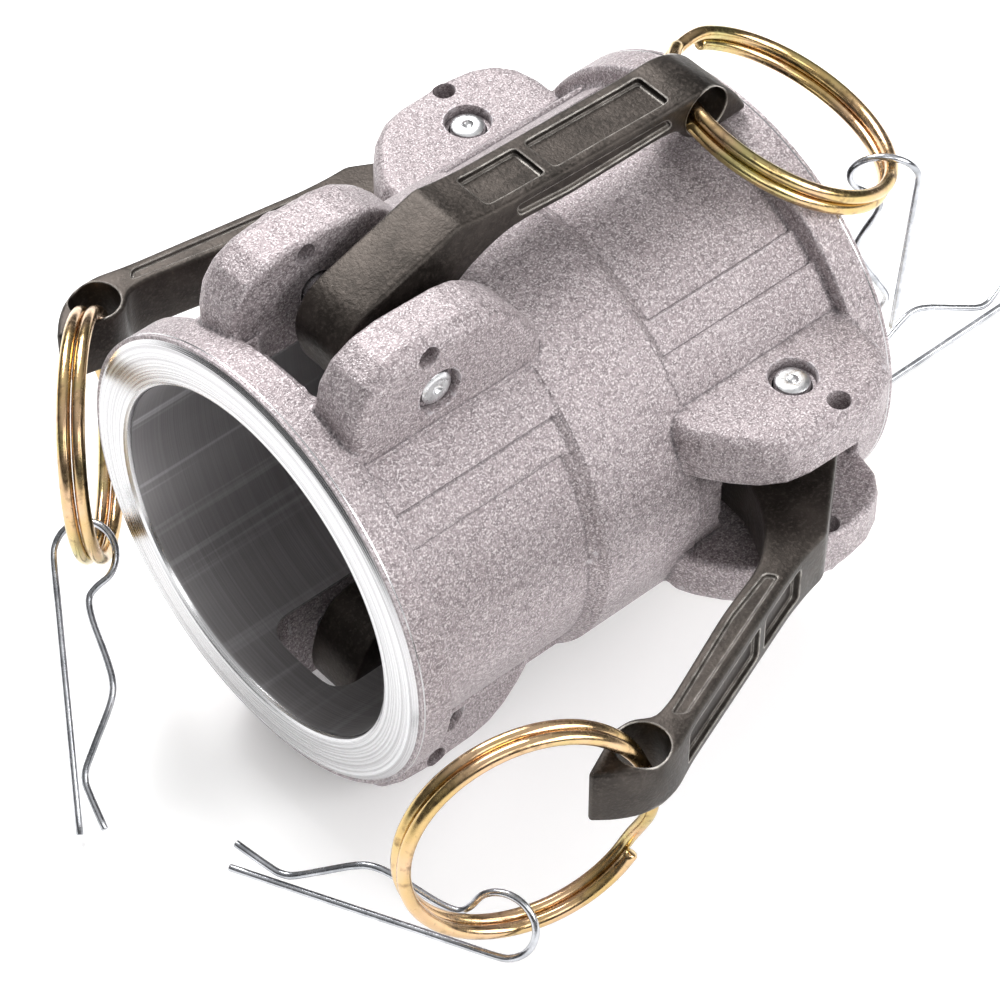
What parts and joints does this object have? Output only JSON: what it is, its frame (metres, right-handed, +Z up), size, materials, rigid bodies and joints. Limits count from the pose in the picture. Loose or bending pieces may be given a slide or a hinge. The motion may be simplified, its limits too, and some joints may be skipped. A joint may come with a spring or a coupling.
{
  "type": "camlock coupling",
  "caption": "Cast double-female cam-and-groove hose coupling with swinging cam arms, pull rings and R-clips at both sockets",
  "frame": {"origin": "centre of the bounding box's underside, on the surface the coupling lies on", "axes": "+X along the bore from the near socket to the far socket, +Z up through the near socket's closed top arm, +Y toward the far socket's left arm"},
  "size_m": [0.2104, 0.1382, 0.1071],
  "materials": {
    "cast_aluminium": "as cast, sand-blasted, machined faces bright",
    "arm_metal": "dark gunmetal, worn at the edges",
    "pin_steel": "plain steel, ends spun over",
    "ring_zinc": "yellow zinc plated spring steel",
    "clip_zinc": "bright zinc plated spring wire",
    "gasket_rubber": "moulded nitrile rubber"
  },
  "bodies": {
    "body": {"coupling_body": "cast_aluminium", "pin_top": "pin_steel", "pin_bottom": "pin_steel", "pin_right": "pin_steel", "pin_left": "pin_steel", "gasket_near": "gasket_rubber", "gasket_far": "gasket_rubber"},
    "arm_top": {"arm_top": "arm_metal"},
    "ring_top": {"ring_top": "ring_zinc"},
    "clip_top": {"clip_top": "clip_zinc"},
    "arm_bottom": {"arm_bottom": "arm_metal"},
    "ring_bottom": {"ring_bottom": "ring_zinc"},
    "clip_bottom": {"clip_bottom": "clip_zinc"},
    "arm_right": {"arm_right": "arm_metal"},
    "ring_right": {"ring_right": "ring_zinc"},
    "clip_right": {"clip_right": "clip_zinc"},
    "arm_left": {"arm_left": "arm_metal"},
    "ring_left": {"ring_left": "ring_zinc"},
    "clip_left": {"clip_left": "clip_zinc"}
  },
  "joints": [
    {"name": "arm_top_hinge", "type": "hinge", "parent": "body", "child": "arm_top", "pos_m": [-0.04999, 0.006, 0.09309], "axis": [0, -1, 0], "range_deg": [0, 100]},
    {"name": "ring_top_swing", "type": "hinge", "parent": "arm_top", "child": "ring_top", "pos_m": [0.01771, 0.006, 0.09969], "axis": [0, -1, 0], "range_deg": [-2, 90]},
    {"name": "clip_top_swing", "type": "hinge", "parent": "ring_top", "child": "clip_top", "pos_m": [0.04469, -0.01495, 0.08108], "axis": [0.6605, 0.7216, -0.2073], "range_deg": [-80, 75]},
    {"name": "arm_bottom_hinge", "type": "hinge", "parent": "body", "child": "arm_bottom", "pos_m": [-0.04999, 0.006, 0.01449], "axis": [0, 1, 0], "range_deg": [0, 100]},
    {"name": "ring_bottom_swing", "type": "hinge", "parent": "arm_bottom", "child": "ring_bottom", "pos_m": [0.01771, 0.006, 0.00789], "axis": [0, 1, 0], "range_deg": [-30, 60]},
    {"name": "clip_bottom_swing", "type": "hinge", "parent": "ring_bottom", "child": "clip_bottom", "pos_m": [0.05777, 0.006, 0.00459], "axis": [0, -1, 0], "range_deg": [-60, 80]},
    {"name": "arm_right_hinge", "type": "hinge", "parent": "body", "child": "arm_right", "pos_m": [0.00621, -0.0333, 0.05379], "axis": [0, 0, 1], "range_deg": [-12, 78]},
    {"name": "ring_right_swing", "type": "hinge", "parent": "arm_right", "child": "ring_right", "pos_m": [-0.05419, -0.06457, 0.05379], "axis": [0, 0, 1], "range_deg": [-18, 90]},
    {"name": "clip_right_swing", "type": "hinge", "parent": "ring_right", "child": "clip_right", "pos_m": [-0.07903, -0.05788, 0.02875], "axis": [0.8851, -0.331, -0.3273], "range_deg": [-70, 80]},
    {"name": "arm_left_hinge", "type": "hinge", "parent": "body", "child": "arm_left", "pos_m": [0.00621, 0.0453, 0.05379], "axis": [0, 0, -1], "range_deg": [0, 89]},
    {"name": "ring_left_swing", "type": "hinge", "parent": "arm_left", "child": "ring_left", "pos_m": [-0.05905, 0.06447, 0.05379], "axis": [0, 0, -1], "range_deg": [-2, 90]},
    {"name": "clip_left_swing", "type": "hinge", "parent": "ring_left", "child": "clip_left", "pos_m": [-0.07966, 0.04019, 0.0312], "axis": [-0.5459, -0.5237, 0.654], "range_deg": [-40, 36]}
  ]
}
